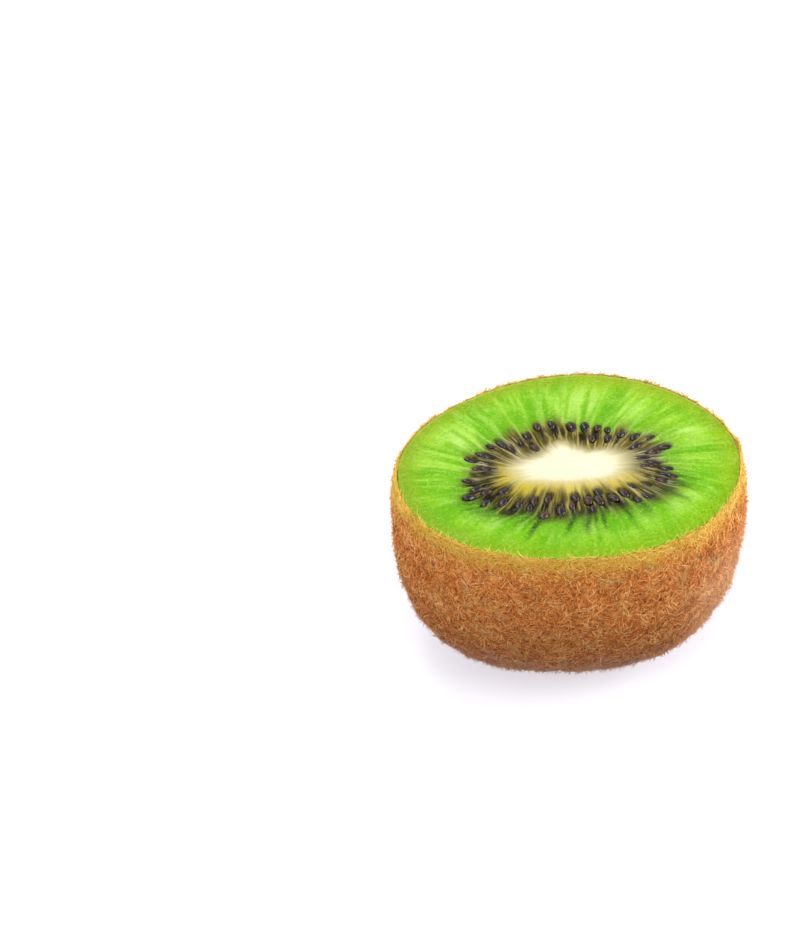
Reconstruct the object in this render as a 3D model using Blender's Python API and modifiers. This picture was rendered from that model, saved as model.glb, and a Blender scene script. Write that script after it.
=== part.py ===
"""Half of a kiwi fruit, cut across and resting on its blunt end.

Metres, +Z up. The origin is on the surface it stands on, under the middle of its box.
The cut face is level at the top, with its wider way along X. The skin, the flesh and the
pale core have grown together, so they are one solid, and the seeds are fused to it.
"""

import math
import random

import bmesh
import bpy
from mathutils import Matrix, Vector

# The fruit from outside
WIDTH = 0.0562  # along X, at the widest level
DEPTH = 0.0500  # along Y, at the widest level
HEIGHT = 0.0315  # from the surface it rests on to the cut
WIDEST_BELOW_CUT = 0.0091
BLUNTNESS = 2.7  # 2 is an ellipsoid, and more is a blunter barrel
REST_SHARE = 0.30  # the flat spot under it, as a share of the fruit's width
# Uneven roundness as waves round the fruit: count, size as a share of the radius, and shift
OUTLINE_WAVES = ((2, 0.0044, -0.29), (3, 0.0156, 2.59), (5, 0.0052, -0.64))
LUMP_WAVES = ((1, 0.0067, -0.06), (2, 0.0092, -1.72), (4, 0.0158, 3.59))  # growing down the side
LUMPS_FULL = 0.75  # how far down the side the lumps are at their full size
LEAN = Vector((-0.0008, -0.0004))  # how far the blunt end lies off the middle

# A station says how far out a place on the cut face is: 0 is its middle, 1 the edge of the
# core, 2 the end of the seed chambers and 3 the rim.
CORE_EDGE = 1.0
RIM = 3.0

# The pale core on the cut face
CORE_HALF_WIDTH = 0.0096
CORE_HALF_DEPTH = 0.0040
CORE_SQUARENESS = 3.0
CORE_LOBE = 0.0029  # the lobe on its far side
CORE_LOBE_ANGLE = math.radians(99)
CORE_LOBE_SPREAD = math.radians(29)
CORE_MIDDLE = Vector((0.0002, -0.0007))

# The ring of seed chambers round the core
RING_HALF_WIDTH = 0.0159
RING_HALF_DEPTH = 0.0120
RING_SQUARENESS = 2.6
RING_WAVES = (
    (1, 0.053, 2.27),
    (2, 0.040, 0.01),
    (3, 0.024, 1.31),
    (4, 0.021, -1.83),
    (5, 0.015, -3.00),
    (6, 0.039, -2.91),
)
CHAMBERS = 40
RAY_TWIST = 0.09  # how far round the rim a ray from the core ends off its straight way

# Relief of the cut face
CORE_RISE = 0.00015
CHAMBER_SINK = 0.00042
WALL_SHARE = 0.3  # how much of that sink the walls between the chambers have
FLESH_SWELL = 0.00030
RAY_SINK = 0.00008
RIM_DROP = 0.00025
CORE_FADE = (0.3, 1.05)  # the stations between which the core's rise fades out
CHAMBER_BAND = (1.0, 1.35, 1.75, 2.25)  # fades in between two stations, and out between two
FLESH_BAND = (1.8, 2.4, 2.5, 3.0)
RIM_FADE = (2.8, 3.0)

# Seeds
SEED_LENGTH = 0.0023
SEED_WIDTH = 0.00134
SEED_THICKNESS = 0.00108
SEED_TAPER = 0.35
SEED_SIZE_SPREAD = 0.20
SEED_TWIST_SPREAD = math.radians(14)
SEED_SIDEWAYS_SPREAD = 0.22  # of a chamber's width
SEED_SUNK = 0.00008  # how far a seed's middle lies under the flesh
SEED_ROWS = ((1.26, 1.62, 0.74), (1.62, 2.02, 0.94))  # inner end, outer end, chance
SEED_CLEARANCE = 0.00146  # from one seed's middle to the next one's
SEED_SIDES = 8
SEED_RINGS = 4
SEED_DRAW = 28758

# Fineness of the mesh
SEGMENTS = 4 * CHAMBERS
FACE_STATIONS = (0.5, 0.86, 1.0, 1.14, 1.34, 1.62, 1.86, 2.0, 2.2, 2.6, 2.9, 3.0)
RINGS_ABOVE_WIDEST = 2
RINGS_BELOW_WIDEST = 9

SKIN, FLESH, CORE, SEED = range(4)
COLOURS = {
    "kiwi_skin": (0.30, 0.15, 0.05, 1.0),
    "kiwi_flesh": (0.24, 0.52, 0.04, 1.0),
    "kiwi_core": (0.86, 0.86, 0.62, 1.0),
    "kiwi_seed": (0.012, 0.008, 0.012, 1.0),
}
ROUGHNESS = {"kiwi_skin": 0.85, "kiwi_flesh": 0.35, "kiwi_core": 0.45, "kiwi_seed": 0.20}


def clear_scene():
    for obj in list(bpy.data.objects):
        bpy.data.objects.remove(obj, do_unlink=True)


def smooth_step(low, high, value):
    share = min(1.0, max(0.0, (value - low) / (high - low)))
    return share * share * (3.0 - 2.0 * share)


def band(value, rise_from, rise_to, fall_from, fall_to):
    return smooth_step(rise_from, rise_to, value) * (1.0 - smooth_step(fall_from, fall_to, value))


def waves(turn, table):
    return sum(size * math.cos(count * turn + shift) for count, size, shift in table)


def superellipse_radius(angle, half_width, half_depth, power):
    across = abs(math.cos(angle) / half_width) ** power
    along = abs(math.sin(angle) / half_depth) ** power
    return (across + along) ** (-1.0 / power)


def on_oval(turn, half_width, half_depth):
    """The direction from the middle in which a ray crosses an oval. Rays are spread evenly
    round each oval, so they leave the long core side by side and fan out to the rim."""
    return math.atan2(half_depth * math.sin(turn), half_width * math.cos(turn))


def direction(angle):
    return Vector((math.cos(angle), math.sin(angle)))


def pole_distance():
    """How far under its widest level the blunt end would reach without its flat spot."""
    return (HEIGHT - WIDEST_BELOW_CUT) / (1.0 - REST_SHARE**BLUNTNESS) ** (1.0 / BLUNTNESS)


def level_share(height):
    """How wide the fruit is at a height, as a share of its widest level."""
    away = abs(height - (HEIGHT - WIDEST_BELOW_CUT)) / pole_distance()
    return (1.0 - away**BLUNTNESS) ** (1.0 / BLUNTNESS)


def side_point(height, turn):
    """A point of the skin, at a height and a turn round the fruit."""
    depth = 1.0 - height / HEIGHT
    uneven = waves(turn, OUTLINE_WAVES) + smooth_step(0.0, LUMPS_FULL, depth) * waves(turn, LUMP_WAVES)
    share = level_share(height) * (1.0 + uneven)
    across = 0.5 * WIDTH * share * math.cos(turn) + LEAN.x * depth
    along = 0.5 * DEPTH * share * math.sin(turn) + LEAN.y * depth
    return Vector((across, along, height))


def core_point(turn):
    angle = on_oval(turn, CORE_HALF_WIDTH, CORE_HALF_DEPTH)
    radius = superellipse_radius(angle, CORE_HALF_WIDTH, CORE_HALF_DEPTH, CORE_SQUARENESS)
    off_lobe = (angle % math.tau - CORE_LOBE_ANGLE) / CORE_LOBE_SPREAD
    radius += CORE_LOBE * math.exp(-off_lobe * off_lobe)
    return CORE_MIDDLE + radius * direction(angle)


def ring_point(turn):
    """Where the seed chamber on a ray ends."""
    angle = on_oval(turn, RING_HALF_WIDTH, RING_HALF_DEPTH)
    radius = superellipse_radius(angle, RING_HALF_WIDTH, RING_HALF_DEPTH, RING_SQUARENESS)
    return CORE_MIDDLE + radius * (1.0 + waves(turn, RING_WAVES)) * direction(angle)


def face_plan(station, turn):
    """A point of the cut face seen from above."""
    rim_point = side_point(HEIGHT, turn - RAY_TWIST).to_2d()
    stops = (CORE_MIDDLE, core_point(turn), ring_point(turn), rim_point)
    inner = min(2, int(station))
    return stops[inner].lerp(stops[inner + 1], station - inner)


def face_relief(station, turn):
    """How far the cut face stands above or below the level of the cut."""
    chamber = 0.5 - 0.5 * math.cos(CHAMBERS * turn)
    relief = CORE_RISE * (1.0 - smooth_step(*CORE_FADE, station))
    relief -= CHAMBER_SINK * band(station, *CHAMBER_BAND) * (WALL_SHARE + (1.0 - WALL_SHARE) * chamber)
    relief += (FLESH_SWELL - RAY_SINK * chamber) * band(station, *FLESH_BAND)
    return relief - RIM_DROP * smooth_step(*RIM_FADE, station)


def face_point(station, turn):
    plan = face_plan(station, turn)
    return Vector((plan.x, plan.y, HEIGHT - FLESH_SWELL + face_relief(station, turn)))


def side_heights():
    """The heights of the rings down the side, from under the rim to the flat spot. They lie
    closer together where the side turns under."""
    rim = HEIGHT - FLESH_SWELL - RIM_DROP
    widest = HEIGHT - WIDEST_BELOW_CUT
    steps = RINGS_ABOVE_WIDEST
    heights = [rim + (widest - rim) * step / steps for step in range(1, steps + 1)]
    lowest_turn = math.acos(REST_SHARE ** (0.5 * BLUNTNESS))
    for step in range(1, RINGS_BELOW_WIDEST + 1):
        drop = math.sin(lowest_turn * step / RINGS_BELOW_WIDEST) ** (2.0 / BLUNTNESS)
        heights.append(widest - drop * pole_distance())
    heights[-1] = 0.0
    return heights


def turned_blank():
    """A flat disc with a tube under its rim and a floor, turned round the axis. A point's
    radius says its station on the cut face, and its depth which ring of the side it is on."""
    rings = len(side_heights())
    profile = [(0.0, 0)] + [(station, 0) for station in FACE_STATIONS]
    profile += [(RIM, ring) for ring in range(1, rings + 1)] + [(0.0, rings)]
    mesh = bpy.data.meshes.new("profile")
    corners = [(radius, 0.0, -ring) for radius, ring in profile]
    mesh.from_pydata(corners, [(i, i + 1) for i in range(len(corners) - 1)], [])
    blank = bpy.data.objects.new("blank", mesh)
    bpy.context.scene.collection.objects.link(blank)
    screw = blank.modifiers.new("turn", "SCREW")
    screw.angle = math.tau
    screw.steps = SEGMENTS
    screw.render_steps = SEGMENTS
    screw.use_merge_vertices = True
    screw.merge_threshold = 0.0001
    turned = applied_mesh(blank)
    bpy.data.objects.remove(blank, do_unlink=True)
    return turned


def applied_mesh(obj):
    bpy.context.view_layer.update()
    return bpy.data.meshes.new_from_object(obj.evaluated_get(bpy.context.evaluated_depsgraph_get()))


def shape_fruit(mesh):
    """Moves each point of the turned blank to its place on the fruit."""
    heights = side_heights()
    for vertex in mesh.vertices:
        station = math.hypot(vertex.co.x, vertex.co.y)
        turn = math.atan2(vertex.co.y, vertex.co.x)
        ring = round(-vertex.co.z)
        if ring == 0:
            vertex.co = face_point(min(station, RIM), turn)
        elif station > FACE_STATIONS[0]:
            vertex.co = side_point(heights[ring - 1], turn - RAY_TWIST)
        else:
            vertex.co = (LEAN.x, LEAN.y, 0.0)


def paint_fruit(mesh):
    """Marks the turned blank: skin on the side and underneath, flesh on the cut face, and the
    pale core in its middle."""
    for polygon in mesh.polygons:
        middle = polygon.center
        if middle.z < 0.0:
            polygon.material_index = SKIN
        elif math.hypot(middle.x, middle.y) < CORE_EDGE:
            polygon.material_index = CORE
        else:
            polygon.material_index = FLESH


def close_and_orient(mesh):
    work = bmesh.new()
    work.from_mesh(mesh)
    bmesh.ops.remove_doubles(work, verts=work.verts, dist=1e-6)
    bmesh.ops.recalc_face_normals(work, faces=work.faces)
    work.to_mesh(mesh)
    work.free()


def seed_places():
    """Each seed's station, turn, size and twist. A chamber has up to two that can be seen."""
    draw = random.Random(SEED_DRAW)
    places = []
    middles = []
    for inner, outer, chance in SEED_ROWS:
        for chamber in range(CHAMBERS):
            sideways = draw.uniform(-SEED_SIDEWAYS_SPREAD, SEED_SIDEWAYS_SPREAD)
            turn = math.tau * (chamber + 0.5 + sideways) / CHAMBERS
            station = draw.uniform(inner, outer)
            size = 1.0 + draw.uniform(-SEED_SIZE_SPREAD, SEED_SIZE_SPREAD)
            twist = draw.uniform(-SEED_TWIST_SPREAD, SEED_TWIST_SPREAD)
            wanted = draw.random() < chance
            middle = face_plan(station, turn)
            clear = all((middle - other).length > SEED_CLEARANCE for other in middles)
            if wanted and clear:
                places.append((station, turn, size, twist))
                middles.append(middle)
    return places


def seed_mesh():
    """A drop-shaped seed along X, with its narrow end at +X."""
    work = bmesh.new()
    bmesh.ops.create_uvsphere(work, u_segments=SEED_SIDES, v_segments=SEED_RINGS, radius=0.5)
    bmesh.ops.rotate(work, verts=work.verts, matrix=Matrix.Rotation(0.5 * math.pi, 3, "Y"))
    for vertex in work.verts:
        vertex.co.y *= 1.0 - SEED_TAPER * vertex.co.x
    bmesh.ops.scale(work, verts=work.verts, vec=(SEED_LENGTH, SEED_WIDTH, SEED_THICKNESS))
    mesh = bpy.data.meshes.new("seed")
    work.to_mesh(mesh)
    work.free()
    return mesh


def seed_objects(mesh, collection):
    """One seed for each place, lying in the flesh with its narrow end to the core."""
    for station, turn, size, twist in seed_places():
        seed = bpy.data.objects.new("seed", mesh)
        inward = face_plan(station - 0.1, turn) - face_plan(station + 0.1, turn)
        seed.location = face_point(station, turn) - Vector((0.0, 0.0, SEED_SUNK))
        seed.rotation_euler = (0.0, 0.0, math.atan2(inward.y, inward.x) + twist)
        seed.scale = (size, size, size)
        collection.objects.link(seed)


def fuse_seeds(fruit):
    """Joins all the seeds to the fruit, then removes them."""
    seeds = bpy.data.collections.new("seeds")
    bpy.context.scene.collection.children.link(seeds)
    mesh = seed_mesh()
    add_materials(mesh)
    for polygon in mesh.polygons:
        polygon.material_index = SEED
    seed_objects(mesh, seeds)
    union = fruit.modifiers.new("seeds", "BOOLEAN")
    union.operation = "UNION"
    union.operand_type = "COLLECTION"
    union.collection = seeds
    union.solver = "MANIFOLD"
    fused = applied_mesh(fruit)
    fruit.modifiers.clear()
    fruit.data = fused
    for seed in list(seeds.objects):
        bpy.data.objects.remove(seed, do_unlink=True)
    bpy.data.collections.remove(seeds)


def centre_box(mesh):
    """Puts the middle of the fruit's box over the origin."""
    across = [vertex.co.x for vertex in mesh.vertices]
    along = [vertex.co.y for vertex in mesh.vertices]
    middle = Vector((0.5 * (min(across) + max(across)), 0.5 * (min(along) + max(along)), 0.0))
    mesh.transform(Matrix.Translation(-middle))


def add_materials(mesh):
    for name, colour in COLOURS.items():
        material = bpy.data.materials.get(name) or bpy.data.materials.new(name)
        material.use_nodes = True
        material.diffuse_color = colour
        shader = material.node_tree.nodes["Principled BSDF"]
        shader.inputs["Base Color"].default_value = colour
        shader.inputs["Roughness"].default_value = ROUGHNESS[name]
        shader.inputs["Metallic"].default_value = 0.0
        mesh.materials.append(material)


def build_kiwi_half():
    collection = bpy.data.collections.new("kiwi_half_cut")
    bpy.context.scene.collection.children.link(collection)
    mesh = turned_blank()
    add_materials(mesh)
    paint_fruit(mesh)
    shape_fruit(mesh)
    close_and_orient(mesh)
    fruit = bpy.data.objects.new("kiwi_half", mesh)
    collection.objects.link(fruit)
    fuse_seeds(fruit)
    fruit.data.name = "kiwi_half"
    centre_box(fruit.data)
    fruit.data.shade_smooth()
    fruit.data.set_sharp_from_angle(angle=math.radians(50))


clear_scene()
build_kiwi_half()
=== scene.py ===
import math
import random
from types import SimpleNamespace

import bmesh
import bpy
import numpy as np
from mathutils import Matrix, Vector


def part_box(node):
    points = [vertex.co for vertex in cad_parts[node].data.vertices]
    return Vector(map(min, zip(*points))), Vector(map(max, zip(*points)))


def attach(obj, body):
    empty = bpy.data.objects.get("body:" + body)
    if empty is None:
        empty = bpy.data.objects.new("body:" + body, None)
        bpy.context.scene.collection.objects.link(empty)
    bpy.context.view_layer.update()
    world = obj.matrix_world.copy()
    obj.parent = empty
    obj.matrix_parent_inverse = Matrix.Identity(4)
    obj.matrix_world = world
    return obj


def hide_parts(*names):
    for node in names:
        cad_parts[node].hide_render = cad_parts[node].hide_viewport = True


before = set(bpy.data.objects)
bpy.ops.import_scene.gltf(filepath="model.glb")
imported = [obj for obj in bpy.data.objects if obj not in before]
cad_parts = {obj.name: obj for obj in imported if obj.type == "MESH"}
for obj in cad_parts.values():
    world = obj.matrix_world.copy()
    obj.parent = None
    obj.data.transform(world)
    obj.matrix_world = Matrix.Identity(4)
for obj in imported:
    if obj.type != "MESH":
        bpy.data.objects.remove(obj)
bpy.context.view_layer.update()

# Half of a kiwi fruit: flesh with a pale core and a ring of seeds, thin skin, and fuzz on it.
# A station says how far out a place on the cut face is: 0 is the middle, 1 the edge of the
# core, 2 the end of the seed chambers and 3 the rim. A turn goes round the fruit, from +X.
halfNode = "kiwi_half"
rimStation = 3.0
tiny = 1e-9  # keeps a division safe where a length is nothing

fruit = dict(
    width=0.0562,
    depth=0.0500,
    height=0.0315,
    widestBelowCut=0.0091,
    bluntness=2.7,  # 2 is an ellipsoid, and more is a blunter barrel
    restShare=0.30,  # the flat spot under it, as a share of the width
    # uneven roundness as waves round the fruit: count, size as a share of the radius, and shift
    outlineWaves=((2, 0.0044, -0.29), (3, 0.0156, 2.59), (5, 0.0052, -0.64)),
    lumpWaves=((1, 0.0067, -0.06), (2, 0.0092, -1.72), (4, 0.0158, 3.59)),
    lumpsFull=0.75,  # how far down the side the lumps are at their full size
    lean=(-0.0008, -0.0004),  # how far the blunt end lies off the middle
)

face = dict(
    coreMiddle=(0.0002, -0.0007),
    coreHalf=(0.0096, 0.0040),
    coreSquareness=3.0,
    coreLobe=0.0029,
    coreLobeAngle=math.radians(99),
    coreLobeSpread=math.radians(29),
    ringHalf=(0.0159, 0.0120),
    ringSquareness=2.6,
    ringWaves=((1, 0.053, 2.27), (2, 0.040, 0.01), (3, 0.024, 1.31), (4, 0.021, -1.83), (5, 0.015, -3.00),
               (6, 0.039, -2.91)),
    chambers=40,
    rayTwist=0.09,  # how far round the rim a ray from the core ends off its straight way
    coreRise=0.00015,
    chamberSink=0.00042,
    wallShare=0.3,  # how much of that sink the walls between the chambers have
    fleshSwell=0.00030,
    raySink=0.00008,
    rimDrop=0.00025,
    coreFade=(0.3, 1.05),  # the stations between which the core's rise fades out
    chamberBand=(1.0, 1.35, 1.75, 2.25),  # fades in between two stations, and out between two
    fleshBand=(1.8, 2.4, 2.5, 3.0),
    rimFade=(2.8, 3.0),
)


def smoothStep(low, high, value):
    share = np.clip((value - low) / (high - low), 0.0, 1.0)
    return share * share * (3.0 - 2.0 * share)


def band(value, riseFrom, riseTo, fallFrom, fallTo):
    return smoothStep(riseFrom, riseTo, value) * (1.0 - smoothStep(fallFrom, fallTo, value))


def waves(turn, table):
    return sum(size * np.cos(count * turn + shift) for count, size, shift in table)


def superellipse(angle, half, power):
    across = np.abs(np.cos(angle) / half[0]) ** power
    along = np.abs(np.sin(angle) / half[1]) ** power
    return (across + along) ** (-1.0 / power)


def onOval(turn, half):
    return np.arctan2(half[1] * np.sin(turn), half[0] * np.cos(turn))


def poleDistance():
    power = fruit["bluntness"]
    return (fruit["height"] - fruit["widestBelowCut"]) / (1.0 - fruit["restShare"] ** power) ** (1.0 / power)


def sidePlan(height, turn):
    # the skin's outside, seen from above, at a height
    power = fruit["bluntness"]
    away = np.abs(height - (fruit["height"] - fruit["widestBelowCut"])) / poleDistance()
    depth = 1.0 - height / fruit["height"]
    uneven = waves(turn, fruit["outlineWaves"])
    uneven = uneven + smoothStep(0.0, fruit["lumpsFull"], depth) * waves(turn, fruit["lumpWaves"])
    share = (1.0 - away**power) ** (1.0 / power) * (1.0 + uneven)
    x = 0.5 * fruit["width"] * share * np.cos(turn) + fruit["lean"][0] * depth
    y = 0.5 * fruit["depth"] * share * np.sin(turn) + fruit["lean"][1] * depth
    return x + middle[0], y + middle[1]


def corePlan(turn):
    angle = onOval(turn, face["coreHalf"])
    radius = superellipse(angle, face["coreHalf"], face["coreSquareness"])
    offLobe = (np.mod(angle, math.tau) - face["coreLobeAngle"]) / face["coreLobeSpread"]
    radius = radius + face["coreLobe"] * np.exp(-offLobe * offLobe)
    x, y = face["coreMiddle"]
    return x + middle[0] + radius * np.cos(angle), y + middle[1] + radius * np.sin(angle)


def ringPlan(turn):
    angle = onOval(turn, face["ringHalf"])
    radius = superellipse(angle, face["ringHalf"], face["ringSquareness"])
    radius = radius * (1.0 + waves(turn, face["ringWaves"]))
    x, y = face["coreMiddle"]
    return x + middle[0] + radius * np.cos(angle), y + middle[1] + radius * np.sin(angle)


def facePlan(station, turn):
    # a place on the cut face seen from above, on the ray that crosses core, ring and rim
    start = (face["coreMiddle"][0] + middle[0], face["coreMiddle"][1] + middle[1])
    stops = (start, corePlan(turn), ringPlan(turn), sidePlan(fruit["height"], turn - face["rayTwist"]))
    place = []
    for axis in (0, 1):
        inCore = stops[0][axis] + (stops[1][axis] - stops[0][axis]) * np.clip(station, 0.0, 1.0)
        inRing = (stops[2][axis] - stops[1][axis]) * np.clip(station - 1.0, 0.0, 1.0)
        inFlesh = (stops[3][axis] - stops[2][axis]) * np.clip(station - 2.0, 0.0, 1.0)
        place.append(inCore + inRing + inFlesh)
    return place[0], place[1]


def faceHeight(station, turn):
    chamber = 0.5 - 0.5 * np.cos(face["chambers"] * turn)
    relief = face["coreRise"] * (1.0 - smoothStep(*face["coreFade"], station))
    sink = face["wallShare"] + (1.0 - face["wallShare"]) * chamber
    relief = relief - face["chamberSink"] * band(station, *face["chamberBand"]) * sink
    relief = relief + (face["fleshSwell"] - face["raySink"] * chamber) * band(station, *face["fleshBand"])
    relief = relief - face["rimDrop"] * smoothStep(*face["rimFade"], station)
    return fruit["height"] - face["fleshSwell"] + relief


def rimHeight():
    return fruit["height"] - face["fleshSwell"] - face["rimDrop"]


def middleOfBox():
    # the frame's box is centred, so every place moves by the same small step
    turns = np.linspace(0.0, math.tau, 160, endpoint=False)
    heights = np.linspace(0.35, 1.0, 60) * fruit["height"]
    x, y = sidePlan(heights[:, None], turns[None, :])
    lowest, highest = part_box(halfNode)
    return (
        0.5 * (lowest[0] + highest[0]) - 0.5 * (x.min() + x.max()),
        0.5 * (lowest[1] + highest[1]) - 0.5 * (y.min() + y.max()),
    )


middle = (0.0, 0.0)
middle = middleOfBox()
print("kiwi: middle of the cut face", middle)


def fieldOf(places, wavelength, drawNumber, count=14):
    # smooth unevenness in space, about -1 to 1
    rng = np.random.default_rng(drawNumber)
    total = np.zeros(len(places))
    for _ in range(count):
        heading = rng.normal(size=3)
        heading /= np.linalg.norm(heading)
        length = wavelength * rng.uniform(0.7, 1.5)
        total += np.sin(math.tau * (places @ heading) / length + rng.uniform(0.0, math.tau))
    return total / math.sqrt(0.5 * count) * 0.7


def streaks(turn, station, around, out, drawNumber):
    # random values on a grid of rays and stations, blended smoothly, from 0 to 1
    grid = np.random.default_rng(drawNumber).random((around, out + 2))
    ray = np.mod(turn / math.tau, 1.0) * around
    step = np.clip(station / rimStation, 0.0, 1.0) * out
    firstRay = np.floor(ray).astype(int)
    firstStep = np.floor(step).astype(int)
    rayShare = smoothStep(0.0, 1.0, ray - firstRay)
    stepShare = smoothStep(0.0, 1.0, step - firstStep)
    firstRay %= around
    nextRay = (firstRay + 1) % around
    inner = grid[firstRay, firstStep] * (1.0 - rayShare) + grid[nextRay, firstStep] * rayShare
    outer = grid[firstRay, firstStep + 1] * (1.0 - rayShare) + grid[nextRay, firstStep + 1] * rayShare
    return inner * (1.0 - stepShare) + outer * stepShare


def placesOf(mesh):
    places = np.empty(len(mesh.vertices) * 3)
    mesh.vertices.foreach_get("co", places)
    return places.reshape(-1, 3)


def setPlaces(mesh, places):
    mesh.vertices.foreach_set("co", places.astype(np.float32).ravel())
    mesh.update()


def paint(mesh, name, values):
    layer = mesh.attributes.new(name, "FLOAT" if values.ndim == 1 else "FLOAT_VECTOR", "POINT")
    layer.data.foreach_set("value" if values.ndim == 1 else "vector", values.astype(np.float32).ravel())


def lathe(name, profile, steps):
    # turns a profile of (radius, depth) points once round the Z axis
    bm = bmesh.new()
    points = [bm.verts.new((radius, 0.0, -depth)) for radius, depth in profile]
    for first, second in zip(points, points[1:]):
        bm.edges.new((first, second))
    bmesh.ops.spin(bm, geom=bm.verts[:] + bm.edges[:], cent=(0.0, 0.0, 0.0), axis=(0.0, 0.0, 1.0),
                   dvec=(0.0, 0.0, 0.0), angle=math.tau, steps=steps, use_merge=True)
    bmesh.ops.remove_doubles(bm, verts=bm.verts, dist=1e-5)
    bmesh.ops.recalc_face_normals(bm, faces=bm.faces)
    mesh = bpy.data.meshes.new(name)
    bm.to_mesh(mesh)
    bm.free()
    return mesh


def addPiece(name, mesh, material):
    piece = bpy.data.objects.new(name, mesh)
    bpy.context.scene.collection.objects.link(piece)
    mesh.materials.append(material)
    mesh.shade_smooth()
    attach(piece, "root")
    return piece


def joinedCopies(name, blank, copies):
    # one mesh of many copies of a blank's faces; copies holds each one's points
    count, size, _ = copies.shape
    corners = np.empty(len(blank.loops), dtype=np.int32)
    blank.loops.foreach_get("vertex_index", corners)
    starts = np.empty(len(blank.polygons), dtype=np.int32)
    blank.polygons.foreach_get("loop_start", starts)
    steps = np.arange(count, dtype=np.int32)[:, None]
    mesh = bpy.data.meshes.new(name)
    mesh.vertices.add(count * size)
    mesh.loops.add(count * len(corners))
    mesh.polygons.add(count * len(starts))
    mesh.vertices.foreach_set("co", copies.astype(np.float32).ravel())
    mesh.loops.foreach_set("vertex_index", (corners[None, :] + steps * size).ravel())
    mesh.polygons.foreach_set("loop_start", (starts[None, :] + steps * len(corners)).ravel())
    mesh.update(calc_edges=True)
    mesh.validate()
    return mesh


# Seeds

seed = dict(
    length=0.0023,
    width=0.00134,
    thickness=0.00108,
    taper=0.35,
    lumps=0.03,  # uneven swelling, as a share of its size
    lumpLength=0.0012,
    sides=18,
    rings=12,
    sizeSpread=0.20,
    twistSpread=math.radians(14),
    tiltSpread=math.radians(15),
    sidewaysSpread=0.22,  # of a chamber's width
    sunk=0.00008,  # how far its middle lies under the flesh
    sunkSpread=(-0.000048, 0.00016),
    rows=((1.26, 1.62, 0.74), (1.62, 2.02, 0.94)),  # inner end, outer end, chance
    clearance=0.00146,  # from one seed's middle to the next one's
    draw=28758,
)


def seedPlaces():
    # up to two seeds in a chamber, where there is room: station, turn, size, twist
    draw = random.Random(seed["draw"])
    places = []
    middles = []
    for inner, outer, chance in seed["rows"]:
        for chamber in range(face["chambers"]):
            sideways = draw.uniform(-seed["sidewaysSpread"], seed["sidewaysSpread"])
            turn = math.tau * (chamber + 0.5 + sideways) / face["chambers"]
            station = draw.uniform(inner, outer)
            size = 1.0 + draw.uniform(-seed["sizeSpread"], seed["sizeSpread"])
            twist = draw.uniform(-seed["twistSpread"], seed["twistSpread"])
            wanted = draw.random() < chance
            x, y = facePlan(station, turn)
            clear = all(math.hypot(x - a, y - b) > seed["clearance"] for a, b in middles)
            if wanted and clear:
                places.append((station, turn, size, twist))
                middles.append((x, y))
    return places


def seedHeading(station, turn, twist):
    # the way a seed's narrow end points, towards the core
    inX, inY = facePlan(station - 0.1, turn)
    outX, outY = facePlan(station + 0.1, turn)
    return math.atan2(inY - outY, inX - outX) + twist


def makeSeeds(material):
    bm = bmesh.new()
    bmesh.ops.create_uvsphere(bm, u_segments=seed["sides"], v_segments=seed["rings"], radius=0.5)
    bmesh.ops.rotate(bm, verts=bm.verts, matrix=Matrix.Rotation(0.5 * math.pi, 3, "Y"))
    for vert in bm.verts:
        vert.co.y *= 1.0 - seed["taper"] * vert.co.x
        vert.co.z *= 1.0 - 0.5 * seed["taper"] * vert.co.x
    bmesh.ops.scale(bm, verts=bm.verts, vec=(seed["length"], seed["width"], seed["thickness"]))
    blank = bpy.data.meshes.new("seedBlank")
    bm.to_mesh(blank)
    bm.free()
    shape = placesOf(blank)
    draw = random.Random(seed["draw"] + 1)
    copies = []
    shades = []
    for station, turn, size, twist in seedPlaces():
        x, y = facePlan(station, turn)
        z = float(faceHeight(station, turn)) - seed["sunk"] - draw.uniform(*seed["sunkSpread"])
        turned = Matrix.Rotation(seedHeading(station, turn, twist), 3, "Z")
        turned = turned @ Matrix.Rotation(draw.uniform(-1.0, 1.0) * seed["tiltSpread"], 3, "Y")
        turned = turned @ Matrix.Rotation(draw.uniform(-1.0, 1.0) * seed["tiltSpread"], 3, "X")
        swelling = fieldOf(shape, seed["lumpLength"], draw.randrange(9999))
        lumpy = shape * (1.0 + seed["lumps"] * swelling[:, None])
        copies.append(lumpy * size @ np.array(turned).T + np.array((float(x), float(y), z)))
        shades.append(np.full(len(shape), draw.random()))
    mesh = joinedCopies("seeds", blank, np.array(copies))
    paint(mesh, "seedShade", np.concatenate(shades))
    bpy.data.meshes.remove(blank)
    print("kiwi: seeds", len(copies))
    return addPiece("seeds", mesh, material)


# Flesh

flesh = dict(
    steps=720,  # of the mesh, round the fruit
    inCore=12,  # rings of the mesh in the core, in the chambers and in the green flesh
    inRing=44,
    inFlesh=48,
    sideRings=6,
    bottom=0.0012,
    tuck=0.00024,  # how far its side lies inside the skin's outside
    tuckFade=(2.6, 3.0),
    fibreRise=0.00005,
    fibreRiseFade=(1.0, 1.2),
    gelRise=0.00005,
    gelRiseBand=(1.1, 1.4, 1.8, 2.2),
    swell=0.00006,
    swellLength=0.009,
    swellFade=(2.7, 3.0),
    socketDepth=0.00012,
    socketLip=0.00007,
    # streaks along the rays: how many go round, how many steps outwards, and a draw number
    streaks=dict(
        thread=(330, 7, 6),
        fringe=(240, 2, 4),
        fine=(200, 6, 1),
        medium=(110, 5, 2),
        broad=(46, 4, 3),
    ),
    darkestTurn=math.radians(222),
    draw=77,
)


def fleshStations():
    inner = [i / flesh["inCore"] for i in range(flesh["inCore"])]
    ring = [1.0 + i / flesh["inRing"] for i in range(flesh["inRing"])]
    outer = [2.0 + i / flesh["inFlesh"] for i in range(flesh["inFlesh"] + 1)]
    return inner + ring + outer


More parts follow.
